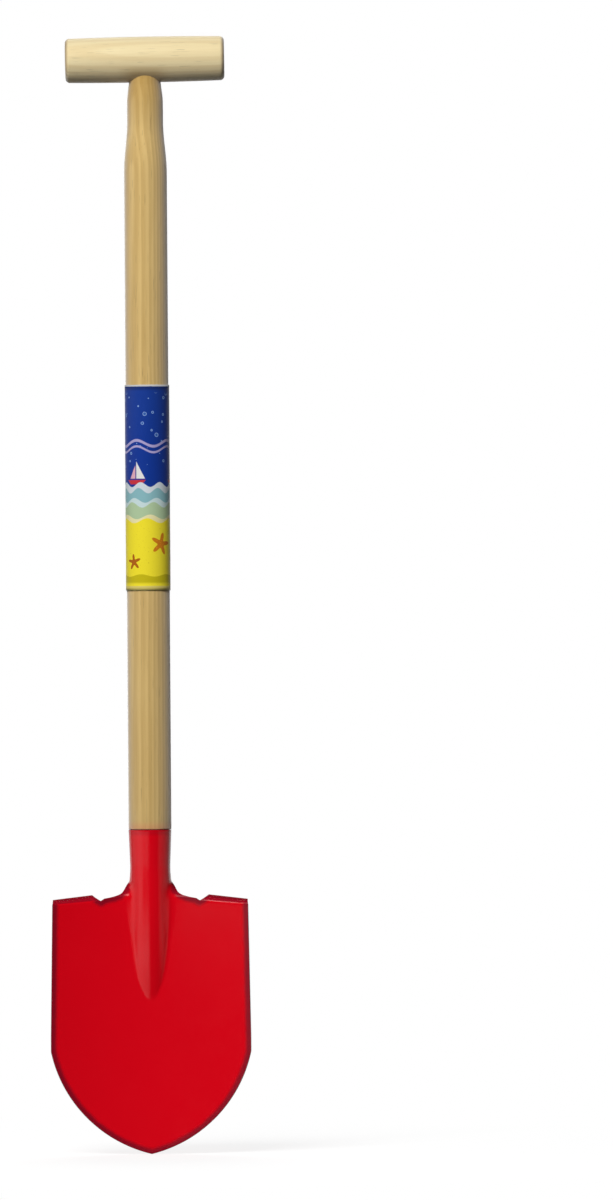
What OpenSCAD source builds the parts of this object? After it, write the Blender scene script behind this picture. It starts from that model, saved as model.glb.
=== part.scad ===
// Child's sand shovel: a pressed steel blade on a turned wooden shaft with a cross grip.
// Millimetres, +Z up along the shaft, the blade's hollow face towards -Y.
// The origin is where the shaft's axis meets the grip's axis.

/* [Grip] */
// Length of the cross grip
grip_l = 106; // [92:1:124]
// Thickness of the grip at its middle
grip_d = 30.6; // [30:0.2:34]
// Thickness of the grip at its ends
grip_end_d = 29.4; // [26:0.2:29.8]
// Rounding of the grip's end edges
grip_round = 3; // [1:0.2:4]
// How far the tenon's bore goes past the grip's axis
bore_past = 6; // [3:0.5:8]

/* [Shaft] */
// Diameter of the shaft
shaft_d = 28.6; // [27.6:0.2:30]
// Diameter of the tenon that goes into the grip
tenon_d = 21.2; // [18:0.2:22]
// Bevel at the top of the tenon
tenon_bevel = 1.5; // [0.5:0.1:2.5]
// Diameter of the neck under the grip
neck_d = 24; // [22.4:0.2:25]
// Length of the cone from the tenon to the neck
neck_cone_l = 12.5; // [6:0.5:18]
// Straight length of the neck
neck_l = 12.5; // [4:0.5:24]
// Length of the taper from the neck to the full shaft
taper_l = 35; // [25:1:80]
// From the grip's axis down to the rim of the socket
socket_drop = 513.5; // [440:0.5:560]
// Bevel of the shoulder over the socket
shoulder_bevel = 0.8; // [0.4:0.1:1.4]
// How far the shaft's end passes the closed socket
tail_l = 15; // [8:0.5:19]
// Length of the cone at the shaft's end
tail_cone_l = 6; // [3:0.5:8]
// How much thinner in radius the cone gets
tail_cone_in = 5; // [2:0.5:8]

/* [Label] */
// From the grip's axis down to the label's top edge
label_drop = 217; // [120:1:240]
// Length of the label
label_l = 137; // [80:1:180]
// Thickness of the label's card
label_t = 0.6; // [0.4:0.1:0.8]
// Width of the glued overlap at the back, in degrees
label_lap = 44; // [20:1:70]

/* [Socket] */
// Thickness of the blade's sheet
sheet_t = 1.2; // [1:0.1:1.4]
// Outer diameter of the socket's lower end
socket_low_d = 27; // [25:0.2:27.4]
// Length of the closed socket
socket_l = 24; // [20:0.5:32]
// From the socket's rim down to its nails
nail_drop = 9.6; // [7:0.2:13]
// Gap left between the rolled edges at the back
seam_w = 0.8; // [0.6:0.1:1.2]
// Height over which the socket opens into the blade
collar_l = 21.5; // [20:0.5:28]
// Half width that the collar has before it flares
collar_waist = 12.5; // [12:0.5:18]
// Half width of the collar at the blade's top edge
collar_half = 30.5; // [30:0.5:35]

/* [Blade] */
// Width of the blade at its top corners
top_w = 129.7; // [122:0.1:132]
// Greatest width of the blade
blade_w = 132.7; // [132:0.1:142]
// Height of the blade from its top edge to the point
blade_h = 170; // [155:0.2:185]
// Height of the blade's straight sides
side_h = 101.6; // [93:0.2:110]
// Height over which the sides widen
widen_h = 92; // [60:1:92]
// Radius of the two arcs that form the point
point_r = 89; // [82:1:130]
// How far the blade's edges come forward
dish = 11; // [6:0.5:14]
// How far the point comes forward
lift = 10; // [2:0.5:16]
// Height of the ridge over the blade's hollow
ridge_h = 7.4; // [6:0.2:10]
// Length of the ridge on the blade
ridge_l = 67; // [55:1:90]
// Radius of the hollow corner along the ridge
root_r = 4.5; // [3:0.5:8]

/* [Treads] */
// Width of the notch between collar and tread
notch_w = 2.5; // [2:0.5:6]
// Depth of a tread's flat behind its bend
tread_l = 9; // [6:0.5:12]
// Bend of a tread from the blade's plane
tread_bend = 82; // [55:1:86]
// Outer radius of the bend
tread_r = 2.6; // [2:0.2:4]
// How far below the blade's top edge the bend begins
tread_set = 1.7; // [0.5:0.1:3]
// Slope of the treads down to the corners
tread_slope = 5; // [0:0.5:8]
// How far a tread's inner end leans outwards
tread_lean = 6; // [2:0.5:8]

/* [Nails] */
// Shank diameter of the socket's nails
nail_d = 2.8; // [2.2:0.2:3.4]
// Length of the socket's nails under the head
nail_l = 11; // [8:0.5:11]
// Head diameter of the socket's nails
nail_head_d = 5.8; // [5:0.2:7]
// Head height of the socket's nails
nail_head_h = 1.6; // [1.4:0.1:2.2]
// Radius of the dome on the socket nails' heads
nail_dome_r = 5; // [4.6:0.2:9]
// Angle of the socket's nails from the seam
nail_turn = 42; // [35:1:60]
// Shank diameter of the grip's nail
pin_d = 2.4; // [2:0.2:3]
// Length of the grip's nail under the head
pin_l = 23; // [18:0.5:24]
// Head diameter of the grip's nail
pin_head_d = 5.2; // [4.4:0.2:6]
// Head height of the grip's nail
pin_head_h = 1; // [0.6:0.1:1.2]
// Radius of the dome on the grip nail's head
pin_dome_r = 12; // [10:1:30]
// How far the grip nail's head is sunk
pin_sink = 1.4; // [1.2:0.1:2.2]

/* [Fits] */
// Clearance between the shaft and the pieces round it
wood_gap = 0.15; // [0.1:0.05:0.3]
// Clearance round the nails
nail_gap = 0.1; // [0.05:0.05:0.2]
// Gap between the socket's rim and the shaft's shoulder
rim_gap = 0.6; // [0.3:0.1:0.9]
// Gap between the grip and the neck's cone
cone_gap = 0.7; // [0.5:0.1:0.9]

/* [Hidden] */
$fn = 64;

// The closed socket is thicker than the sheet by a small step on each side
socket_step = 0.1;
socket_wall = sheet_t + 2 * socket_step;
socket_r = shaft_d / 2;
socket_low_r = socket_low_d / 2;
rim_z = -socket_drop;
open_z = rim_z - socket_l;
top_z = open_z - collar_l;
tip_z = top_z - blade_h;
half_w = blade_w / 2;
socket_slope = (socket_r - socket_low_r) / socket_l;
nail_z = rim_z - nail_drop;
nail_seat = socket_r - socket_slope * nail_drop + nail_gap;
pin_seat = grip_d / 2 - pin_sink;
cone_z = -grip_d / 2 - cone_gap;
neck_z = cone_z - neck_cone_l;
taper_z = neck_z - neck_l;

// How far the sheet reaches up inside the socket's wall, and how far cuts run past a face
bite = 1.5;
over = 1;

// The ridge's crest is the socket's own arc, so it runs on smoothly
crest_r = socket_low_r - socket_step;
wing_set = ridge_h - crest_r;
ridge_a = acos(1 - ridge_h / (crest_r + root_r));
ridge_half = (crest_r + root_r) * sin(ridge_a);
root_l = root_r * ridge_a * PI / 180;
seam_a = 180 - asin((seam_w / 2 + socket_step) / crest_r);

// Centre of the arc through the end of the straight side and the point
chord = [half_w, blade_h - side_h];
chord_l = norm(chord);
chord_mid = [half_w / 2, tip_z + chord.y / 2];
point_c = chord_mid + sqrt(pow(point_r, 2) - pow(chord_l / 2, 2)) * [-chord.y, chord.x] / chord_l;

// Rows and columns of the sheet
collar_n = 17;
outer_n = 9;
neck_rows = 9;
blade_rows = 28;
bend_rows = 4;
tread_k = collar_n + 1;
half_n = collar_n + outer_n;

function between(a, b, t) = a + (b - a) * t;
function unit(v) = v / norm(v);

// Forward is negative: the hollow blade comes forward at its edges and its point
function down(z) = max(0, (top_z - z) / blade_h);
function wing_y(x, z) = wing_set - lift * pow(down(z), 2) - dish * pow(x / half_w, 2);
function ridge_rise(z) = ridge_h * max(0, 1 - pow(max(0, top_z - z) / ridge_l, 2));

// Height of the ridge: an arc for its crest, and a hollow arc at its foot
function ridge(x, h) =
    let (a = acos(1 - h / (crest_r + root_r)))
    let (crest_x = crest_r * sin(a))
    let (foot_x = (crest_r + root_r) * sin(a))
    x <= crest_x ? h - crest_r + sqrt(pow(crest_r, 2) - pow(x, 2)) :
    x < foot_x ? root_r - sqrt(pow(root_r, 2) - pow(foot_x - x, 2)) : 0;
function front_y(x, z) = wing_y(x, z) - ridge(x, ridge_rise(z));

// Column k of the collar: its angle on the closed socket, and its place when rolled out to width w
function roll_a(k) = seam_a * k / collar_n;
function roll_s(k, w) = (roll_a(k) - ridge_a) / (seam_a - ridge_a) * (root_l + w - ridge_half);
function collar_x(k, w) =
    let (s = roll_s(k, w))
    roll_a(k) <= ridge_a ? crest_r * sin(roll_a(k)) :
    s < root_l ? ridge_half - root_r * sin(ridge_a - s / root_r * 180 / PI) :
    ridge_half + s - root_l;

// Column k of the whole blade, at its greatest width
tread_x = collar_half + notch_w;
function blade_x(k) =
    k <= collar_n ? collar_x(k, collar_half) :
    between(tread_x, half_w, sin(90 * (k - tread_k) / (half_n - tread_k)));
function side_in(z) = (blade_w - top_w) / 2 * max(0, 1 - (top_z - z) / widen_h);
function taper_x(x, z) = x <= collar_half ? x : x - side_in(z) * (x - collar_half) / (half_w - collar_half);

// The top edge falls towards the corners under the treads, and the lower edge is the point's arcs
function upper_z(k) =
    k <= collar_n ? top_z : top_z - tread_set - (blade_x(k) - tread_x) * tan(tread_slope);
function lower_z(x) = point_c.y - sqrt(pow(point_r, 2) - pow(x - point_c.x, 2));

// The columns draw in with the ridge towards its end, and spread again below it
draw_in = 0.3;
ridge_v = ridge_l / blade_h;
function foot_half(h) = (crest_r + root_r) * sin(acos(1 - h / (crest_r + root_r)));
function gather(v) =
    v < ridge_v ? max(draw_in, foot_half(ridge_h * (1 - pow(v / ridge_v, 2))) / ridge_half) :
    between(draw_in, 1, (1 - cos(180 * (v - ridge_v) / (1 - ridge_v))) / 2);
function gather_x(x, f) =
    x <= ridge_half ? x * f :
    ridge_half * f + (x - ridge_half) * (half_w - ridge_half * f) / (half_w - ridge_half);

// The collar's sections unroll column by column from the closed socket to the blade's top edge
flare_power = 7;
roll_out_power = 2;
function heading(p) = atan2(p.y, p.x);
function closed_xy(k) = crest_r * [sin(roll_a(k)), -cos(roll_a(k))];
function open_xy(k, w) = [collar_x(k, w), front_y(collar_x(k, w), top_z)];
function unrolled(k, w, t) =
    k == 0 ? closed_xy(0) :
    let (shut = closed_xy(k) - closed_xy(k - 1))
    let (flat = open_xy(k, w) - open_xy(k - 1, w))
    let (a = between(heading(shut), heading(flat), t))
    unrolled(k - 1, w, t) + between(norm(shut), norm(flat), t) * [cos(a), sin(a)];

// Points of the sheet's front for x from the middle outwards
function blade_point(i, k) =
    let (v = i / blade_rows)
    let (z = between(upper_z(k), lower_z(blade_x(k)), v))
    let (x = taper_x(gather_x(blade_x(k), gather(v)), z))
    [x, front_y(x, z), z];
function collar_point(i, k) =
    let (v = cos(90 * i / neck_rows))
    let (z = between(open_z + bite, top_z, v))
    let (d = max(0, (open_z - z) / collar_l))
    let (w = between(collar_waist, collar_half, pow(d, flare_power)))
    let (p = unrolled(k, w, pow(sin(90 * d), roll_out_power)))
    [p.x, p.y, z];
function tread_up(a, l) = tread_r * sin(a) + l * cos(a);
function tread_point(i, k) =
    let (p = blade_point(0, k))
    let (a = tread_bend * min(1, i / bend_rows))
    let (l = i > bend_rows ? tread_l : 0)
    let (lean = tread_lean * tread_up(a, l) / tread_up(tread_bend, tread_l))
    let (inner = (half_w - blade_x(k)) / (half_w - tread_x))
    p + [lean * inner, tread_r * (1 - cos(a)) + l * sin(a), tread_up(a, l)];
function half_point(i, k) =
    i >= 0 ? blade_point(i, k) :
    k <= collar_n ? collar_point(-i, k) :
    tread_point(min(-i, bend_rows + 1), k);
function sheet_point(i, j) =
    let (p = half_point(i, abs(j)))
    [sign(j) * p.x, p.y, p.z];

// A square of the sheet lies between rows i and i + 1 and columns j and j + 1
function in_collar(j) = abs(j) <= collar_n;
function in_tread(i, j) = abs(j) >= tread_k && i >= -bend_rows - 1;
function square_here(i, j) =
    i >= -neck_rows && i < blade_rows && j >= -half_n && j < half_n &&
    (i >= 0 || (in_collar(j) && in_collar(j + 1)) || (in_tread(i, j) && in_tread(i, j + 1)));
function point_here(i, j) =
    square_here(i, j) || square_here(i - 1, j) || square_here(i, j - 1) || square_here(i - 1, j - 1);

row_n = neck_rows + blade_rows + 1;
column_n = 2 * half_n + 1;
function at(i, j) = (i + neck_rows) * column_n + j + half_n;

// Direction from the sheet's front to its back
function inward(grid, i, j) =
    let (right = square_here(i, j) || square_here(i - 1, j) ? j + 1 : j)
    let (left = square_here(i, j - 1) || square_here(i - 1, j - 1) ? j - 1 : j)
    let (below = square_here(i, j) || square_here(i, j - 1) ? i + 1 : i)
    let (above = square_here(i - 1, j) || square_here(i - 1, j - 1) ? i - 1 : i)
    unit(cross(grid[at(i, right)] - grid[at(i, left)], grid[at(below, j)] - grid[at(above, j)]));

module sheet() {
    front = [for (i = [-neck_rows : blade_rows]) for (j = [-half_n : half_n]) sheet_point(i, j)];
    back = [
        for (i = [-neck_rows : blade_rows])
            for (j = [-half_n : half_n])
                point_here(i, j) ? front[at(i, j)] + sheet_t * inward(front, i, j) : front[at(i, j)]
    ];
    n = row_n * column_n;
    faces = [
        for (i = [-neck_rows : blade_rows - 1])
            for (j = [-half_n : half_n - 1])
                if (square_here(i, j))
                    let (a = at(i, j), b = at(i, j + 1), c = at(i + 1, j + 1), d = at(i + 1, j))
                        each [
                            [a, b, c],
                            [a, c, d],
                            [a + n, c + n, b + n],
                            [a + n, d + n, c + n],
                            if (!square_here(i - 1, j)) each [[a, a + n, b + n], [a, b + n, b]],
                            if (!square_here(i + 1, j)) each [[c, c + n, d + n], [c, d + n, d]],
                            if (!square_here(i, j - 1)) each [[d, d + n, a + n], [d, a + n, a]],
                            if (!square_here(i, j + 1)) each [[b, b + n, c + n], [b, c + n, c]]
                        ]
    ];
    polyhedron(points = concat(front, back), faces = faces, convexity = 8);
}

module socket() {
    difference() {
        translate([0, 0, open_z]) cylinder(h = socket_l, r1 = socket_low_r, r2 = socket_r);
        translate([0, 0, open_z - over])
            cylinder(
                h = socket_l + 2 * over,
                r1 = socket_low_r - socket_wall - socket_slope * over,
                r2 = socket_r - socket_wall + socket_slope * over
            );
        translate([-seam_w / 2, 0, open_z - over]) cube([seam_w, shaft_d, socket_l + 2 * over]);
    }
}

// Places things on the socket's back, pointing outwards from the seat of each nail's head
module at_nails() {
    for (side = [-1, 1])
        translate([0, 0, nail_z])
            rotate([0, 0, side * nail_turn]) rotate([-90, 0, 0]) translate([0, 0, nail_seat]) children();
}

module nail_holes() {
    at_nails()
        translate([0, 0, -nail_l - nail_gap]) cylinder(h = nail_l + shaft_d, r = nail_d / 2 + nail_gap);
}

// The same for the grip's nail, on the grip's back
module at_pin() {
    rotate([-90, 0, 0]) translate([0, 0, pin_seat]) children();
}

module pin_hole() {
    at_pin() translate([0, 0, -pin_l - nail_gap]) cylinder(h = pin_l + grip_d, r = pin_d / 2 + nail_gap);
}

module blade() {
    color("firebrick")
        difference() {
            union() {
                socket();
                sheet();
            }
            nail_holes();
        }
}

// The taper under the grip is half a wave
function taper_d(t) = between(shaft_d, neck_d, (1 - cos(180 * t)) / 2);

// Outline of the shaft from its axis
module shaft_outline() {
    seat_r = socket_r - socket_wall - wood_gap;
    low_r = seat_r - socket_slope * (socket_l + tail_l - tail_cone_l);
    end_z = open_z - tail_l;
    shoulder_z = rim_z + rim_gap;
    top = bore_past - wood_gap;
    steps = 14;
    polygon([
        [0, end_z],
        [low_r - tail_cone_in, end_z],
        [low_r, end_z + tail_cone_l],
        [seat_r, rim_z],
        [seat_r, shoulder_z],
        [shaft_d / 2 - shoulder_bevel, shoulder_z],
        [shaft_d / 2, shoulder_z + shoulder_bevel],
        for (s = [0 : steps]) [taper_d(s / steps) / 2, taper_z - taper_l * (1 - s / steps)],
        [neck_d / 2, neck_z],
        [tenon_d / 2, cone_z],
        [tenon_d / 2, top - tenon_bevel],
        [tenon_d / 2 - tenon_bevel, top],
        [0, top]
    ]);
}

module shaft() {
    color("burlywood")
        difference() {
            rotate_extrude() shaft_outline();
            nail_holes();
            pin_hole();
        }
}

function barrel_r(x) = grip_d / 2 - (grip_d - grip_end_d) / 2 * pow(2 * x / grip_l, 2);

// Outline of the grip from its axis: a shallow barrel with rounded ends
module grip_outline() {
    straight = grip_l / 2 - grip_round;
    rim_r = barrel_r(straight);
    turns = 5;
    steps = 12;
    polygon([
        [0, -grip_l / 2],
        for (s = [turns : -1 : 1])
            [rim_r - grip_round * (1 - cos(90 * s / turns)), -straight - grip_round * sin(90 * s / turns)],
        for (s = [0 : steps])
            [barrel_r(between(-straight, straight, s / steps)), between(-straight, straight, s / steps)],
        for (s = [1 : turns])
            [rim_r - grip_round * (1 - cos(90 * s / turns)), straight + grip_round * sin(90 * s / turns)],
        [0, grip_l / 2]
    ]);
}

module grip() {
    color("wheat")
        difference() {
            rotate([0, 90, 0]) rotate_extrude() grip_outline();
            translate([0, 0, -grip_d]) cylinder(h = grip_d + bore_past, r = tenon_d / 2 + wood_gap);
            pin_hole();
            at_pin() cylinder(h = grip_d, r = pin_head_d / 2 + nail_gap);
        }
}

module label() {
    inner_r = shaft_d / 2 + wood_gap;
    color("royalblue")
        translate([0, 0, -label_drop - label_l])
            union() {
                difference() {
                    cylinder(h = label_l, r = inner_r + label_t);
                    translate([0, 0, -over]) cylinder(h = label_l + 2 * over, r = inner_r);
                }
                rotate([0, 0, 90 - label_lap / 2])
                    rotate_extrude(angle = label_lap)
                        translate([inner_r + label_t / 2, 0]) square([label_t, label_l]);
            }
}

// A nail along +Z with the underside of its head at the origin
module nail(d, l, head_d, head_h, dome_r) {
    rotate_extrude() {
        polygon([[0, -l], [d / 2, d - l], [d / 2, head_h / 2], [0, head_h / 2]]);
        intersection() {
            square([head_d / 2, head_h]);
            translate([0, head_h - dome_r]) circle(dome_r);
        }
    }
}

module socket_nails() {
    color("silver") at_nails() nail(nail_d, nail_l, nail_head_d, nail_head_h, nail_dome_r);
}

module grip_nail() {
    color("silver") at_pin() nail(pin_d, pin_l, pin_head_d, pin_head_h, pin_dome_r);
}

blade();
shaft();
grip();
label();
socket_nails();
grip_nail();
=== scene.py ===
"""Dresses the packed sand shovel: enamelled blade, wooden handle, printed sleeve, nails and a studio."""

import cmath
import functools
import math
from typing import NamedTuple

import bpy
import numpy as np
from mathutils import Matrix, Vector


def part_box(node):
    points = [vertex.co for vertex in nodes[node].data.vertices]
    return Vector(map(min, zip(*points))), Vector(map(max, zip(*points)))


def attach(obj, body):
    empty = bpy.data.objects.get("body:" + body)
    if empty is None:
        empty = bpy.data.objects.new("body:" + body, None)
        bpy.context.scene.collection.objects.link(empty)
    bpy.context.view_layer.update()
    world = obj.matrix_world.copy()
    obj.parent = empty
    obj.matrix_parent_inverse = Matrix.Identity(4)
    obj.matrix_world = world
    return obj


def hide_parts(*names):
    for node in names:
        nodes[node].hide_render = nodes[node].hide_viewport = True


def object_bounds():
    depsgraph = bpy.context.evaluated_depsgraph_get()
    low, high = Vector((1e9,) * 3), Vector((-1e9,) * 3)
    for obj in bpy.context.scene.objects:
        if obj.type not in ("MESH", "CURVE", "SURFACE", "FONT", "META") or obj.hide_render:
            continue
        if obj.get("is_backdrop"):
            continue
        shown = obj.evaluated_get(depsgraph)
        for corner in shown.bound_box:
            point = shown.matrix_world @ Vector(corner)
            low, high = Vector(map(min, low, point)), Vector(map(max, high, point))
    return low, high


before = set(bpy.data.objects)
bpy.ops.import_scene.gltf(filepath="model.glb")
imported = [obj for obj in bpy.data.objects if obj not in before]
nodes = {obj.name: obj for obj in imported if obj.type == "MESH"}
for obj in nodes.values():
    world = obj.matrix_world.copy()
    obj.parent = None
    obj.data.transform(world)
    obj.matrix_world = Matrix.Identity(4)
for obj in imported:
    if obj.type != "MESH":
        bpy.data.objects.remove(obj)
cad_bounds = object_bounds()
scene = bpy.context.scene

# Sizes are in millimetres, and meshes are made in metres
MM = 0.001


def box_mm(node):
    """Lowest and highest corner of a solid, in millimetres."""
    low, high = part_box(node)
    return low / MM, high / MM


# Sizes that the frame gives
blade_low, blade_high = box_mm("blade")
shaft_low, shaft_high = box_mm("shaft")
grip_low, grip_high = box_mm("grip")
label_low, label_high = box_mm("label")
RIM_Z = blade_high.z
FLOOR_Z = blade_low.z
SHAFT_R = shaft_high.x
SHAFT_END_Z = shaft_low.z
GRIP_L = grip_high.x - grip_low.x
GRIP_R = grip_high.z
LABEL_L = label_high.z - label_low.z

# The pressing: sheet, socket and collar
SHEET_T = 1.2
EDGE_R = 0.42
EDGE_STEPS = 3
EDGE_ANGLE = math.radians(55)
SOCKET_L = 24.0
COLLAR_L = 21.5
CREST_R = 13.4
SEAM_HALF = 0.5
COLLAR_WAIST = 12.3
COLLAR_HALF = 30.5
FLARE_POWER = 7
ROLL_EASE = 0.2

# The pressing: blade and ridge
TOP_W = 129.7
BLADE_W = 132.7
BLADE_H = 170.0
SIDE_H = 101.6
WIDEN_H = 92.0
POINT_R = 89.0
DISH = 11.0
LIFT = 10.0
RIDGE_H = 7.4
RIDGE_L = 67.0
ROOT_R = 4.5
DRAW_IN = 0.3

# The pressing: foot treads
NOTCH_W = 2.5
TREAD_L = 9.0
TREAD_BEND = math.radians(82)
TREAD_R = 2.6
TREAD_SET = 1.7
TREAD_SLOPE = math.radians(5)
TREAD_LEAN = 6.0

# The shaft: tenon, cone, neck and taper
TENON_R = 10.6
TENON_TOP = 5.85
TENON_BEVEL = 1.5
CONE_GAP = 0.7
CONE_L = 12.5
CONE_POWER = 1.4
NECK_R = 12.0
NECK_L = 12.5
TAPER_L = 35.0

# The shaft: shoulder, and the end that is seated in the socket
SHOULDER_W = 1.55
SHOULDER_FLAT = 0.3
SHOULDER_GAP = 0.25
SHOULDER_ROUND = 0.8
SEAT_STRAIGHT = 1.0
SEAT_TAPER = 1.0
END_BEVEL_L = 2.0
END_BEVEL_W = 1.0

# The grip
GRIP_END_R = 14.7
GRIP_ROUND = 3.0
GRIP_TILT = math.radians(0.7)
FACE_RING = 1.2
FACE_CORE_R = 4.0

# The sleeve
CARD_T = 0.25
CARD_GAP = 0.05
CARD_LAP = math.radians(44)
CARD_RISE = math.radians(24)
RIPPLE_H = 0.05
RIPPLE_TURNS = ((5, 9), (2, 3 * math.pi))

# Rows and columns of the pressing's cage. Rows are counted down from the blade's top edge
COLLAR_COLUMNS = 34
NOTCH_COLUMNS = 2
OUTER_COLUMNS = 16
TREAD_COLUMN = COLLAR_COLUMNS + NOTCH_COLUMNS
HALF_COLUMNS = TREAD_COLUMN + OUTER_COLUMNS
SOCKET_ROWS = 10
COLLAR_ROWS = 18
BLADE_ROWS = 56
BEND_ROWS = 8
FLAT_ROWS = 4
TOP_ROW = -COLLAR_ROWS - SOCKET_ROWS
TREAD_ROW = -BEND_ROWS - FLAT_ROWS

# Where the folds beside the ridge are eased: off the sheet's edge, aside, and above the blade's top
EASE_EDGE = (0.0, 5.0)
EASE_INNER = (7.0, 10.0)
EASE_OUTER = (30.0, 22.0)
EASE_LOWER = (-26.0, -8.0)
EASE_UPPER = (15.0, 6.0)
EASE_ROUNDS = 40
EASE_PACE = 0.5

# Steps of the other meshes
TURNED_SIDES = 96
SHOULDER_STEPS = 6
STRAIGHT_STEPS = 40
TAPER_STEPS = 28
CONE_STEPS = 14
GRIP_STEPS = 40
GRIP_ROUND_STEPS = 10
CARD_COLUMNS = 260
CARD_ROWS = 60

# Places and angles that follow from the sizes
OPEN_Z = RIM_Z - SOCKET_L
TOP_Z = OPEN_Z - COLLAR_L
TIP_Z = TOP_Z - BLADE_H
HALF_W = BLADE_W / 2
TREAD_X = COLLAR_HALF + NOTCH_W
TREAD_RISE = TREAD_R * math.sin(TREAD_BEND) + TREAD_L * math.cos(TREAD_BEND)
WING_SET = RIDGE_H - CREST_R
HUMP_R = CREST_R + ROOT_R
RIDGE_A = math.acos(1 - RIDGE_H / HUMP_R)
RIDGE_HALF = HUMP_R * math.sin(RIDGE_A)
ROOT_L = ROOT_R * RIDGE_A
RIDGE_V = RIDGE_L / BLADE_H
SEAM_A = math.pi - math.asin(SEAM_HALF / CREST_R)
CONE_Z = -GRIP_R - CONE_GAP
NECK_Z = CONE_Z - CONE_L
TAPER_Z = NECK_Z - NECK_L
SEAT_R = SHAFT_R - SHOULDER_W
SHAFT_END_R = SEAT_R - SEAT_TAPER
CARD_UNDER_R = SHAFT_R + CARD_GAP
CARD_R = CARD_UNDER_R + CARD_T
PRINT_R = CARD_R + CARD_T


def between(a, b, t):
    return a + (b - a) * t


def eased(value, start, end):
    """Goes from 0 at start to 1 at end, level at both, for a number or an array."""
    share = np.clip((value - start) / (end - start), 0, 1)
    return share * share * (3 - 2 * share)


# Meshes

def new_piece(name, points, faces, replaced):
    """Makes a smooth mesh piece from points in millimetres that stands for a solid."""
    mesh = bpy.data.meshes.new(name)
    mesh.from_pydata([Vector(p) * MM for p in points], [], faces)
    mesh.validate()
    mesh.polygons.foreach_set("use_smooth", [True] * len(mesh.polygons))
    piece = bpy.data.objects.new(name, mesh)
    scene.collection.objects.link(piece)
    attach(piece, "root")
    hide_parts(replaced)
    return piece


def turned(outline, place):
    """Points and faces of a turned form.

    outline is a list of (along, radius) from pole to pole, and place(along, a, b) sets a point.
    """
    sides = TURNED_SIDES
    points = []
    for along, radius in outline[1:-1]:
        for side in range(sides):
            angle = math.tau * side / sides
            points.append(place(along, radius * math.cos(angle), radius * math.sin(angle)))
    first, last = len(points), len(points) + 1
    points += [place(outline[0][0], 0, 0), place(outline[-1][0], 0, 0)]
    last_ring = len(outline) - 3
    faces = []
    for side in range(sides):
        after = (side + 1) % sides
        faces.append((first, after, side))
        faces.append((last, last_ring * sides + side, last_ring * sides + after))
        for ring in range(last_ring):
            low, high = ring * sides, (ring + 1) * sides
            faces.append((low + side, low + after, high + after, high + side))
    return points, faces


# The pressing's front, from the middle outwards. It follows the solid to within 1 mm

def point_arc_centre():
    """Centre of the arc through the end of the straight side and the point."""
    rise = BLADE_H - SIDE_H
    chord = math.hypot(HALF_W, rise)
    reach = math.sqrt(POINT_R**2 - (chord / 2) ** 2) / chord
    return HALF_W / 2 - reach * rise, TIP_Z + rise / 2 + reach * HALF_W


POINT_X, POINT_Z = point_arc_centre()


def hump_half(height):
    """Half the ridge's width where it has that height."""
    return HUMP_R * math.sin(math.acos(1 - height / HUMP_R))


def ridge_rise(z):
    return RIDGE_H * max(0.0, 1 - (max(0.0, TOP_Z - z) / RIDGE_L) ** 2)


def ridge(x, height):
    """The ridge over the wing: an arc for its crest, and a hollow arc at its foot."""
    foot_x = hump_half(height)
    if x <= foot_x * CREST_R / HUMP_R:
        return height - CREST_R + math.sqrt(CREST_R**2 - x**2)
    if x < foot_x:
        return ROOT_R - math.sqrt(ROOT_R**2 - (foot_x - x) ** 2)
    return 0.0


def front_y(x, z):
    """The blade's front. Forward is negative: it comes forward at its edges and its point."""
    down = max(0.0, (TOP_Z - z) / BLADE_H)
    return WING_SET - LIFT * down**2 - DISH * (x / HALF_W) ** 2 - ridge(x, ridge_rise(z))


def roll_angle(k):
    """Angle of column k on the closed socket, from its front."""
    return SEAM_A * k / COLLAR_COLUMNS


def collar_x(k, width):
    """Place of column k where the collar is rolled out to that half width."""
    angle = roll_angle(k)
    if angle <= RIDGE_A:
        return CREST_R * math.sin(angle)
    s = (angle - RIDGE_A) / (SEAM_A - RIDGE_A) * (ROOT_L + width - RIDGE_HALF)
    if s < ROOT_L:
        return RIDGE_HALF - ROOT_R * math.sin(RIDGE_A - s / ROOT_R)
    return RIDGE_HALF + s - ROOT_L


def blade_x(k):
    """Column k of the whole blade, at its greatest width."""
    if k <= COLLAR_COLUMNS:
        return collar_x(k, COLLAR_HALF)
    if k <= TREAD_COLUMN:
        return between(COLLAR_HALF, TREAD_X, (k - COLLAR_COLUMNS) / NOTCH_COLUMNS)
    return between(TREAD_X, HALF_W, math.sin(math.pi / 2 * (k - TREAD_COLUMN) / OUTER_COLUMNS))


def upper_z(k):
    """The top edge steps down in the notch and falls towards the corner."""
    if k <= TREAD_COLUMN:
        return TOP_Z - TREAD_SET * max(0.0, (k - COLLAR_COLUMNS) / NOTCH_COLUMNS)
    return TOP_Z - TREAD_SET - (blade_x(k) - TREAD_X) * math.tan(TREAD_SLOPE)


def lower_z(x):
    return POINT_Z - math.sqrt(POINT_R**2 - (x - POINT_X) ** 2)


def taper_x(x, z):
    """The blade narrows a little towards its top corners."""
    if x <= COLLAR_HALF:
        return x
    narrower = (BLADE_W - TOP_W) / 2 * max(0.0, 1 - (TOP_Z - z) / WIDEN_H)
    return x - narrower * (x - COLLAR_HALF) / (HALF_W - COLLAR_HALF)


def gather_x(x, v):
    """The columns draw in with the ridge towards its end, and spread again below it."""
    if v < RIDGE_V:
        share = max(DRAW_IN, hump_half(RIDGE_H * (1 - (v / RIDGE_V) ** 2)) / RIDGE_HALF)
    else:
        share = between(DRAW_IN, 1, (1 - math.cos(math.pi * (v - RIDGE_V) / (1 - RIDGE_V))) / 2)
    if x <= RIDGE_HALF:
        return x * share
    inner = RIDGE_HALF * share
    return inner + (x - RIDGE_HALF) * (HALF_W - inner) / (HALF_W - RIDGE_HALF)


def blade_point(v, k):
    z = between(upper_z(k), lower_z(blade_x(k)), v)
    x = taper_x(gather_x(blade_x(k), v), z)
    return x, front_y(x, z), z


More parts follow.
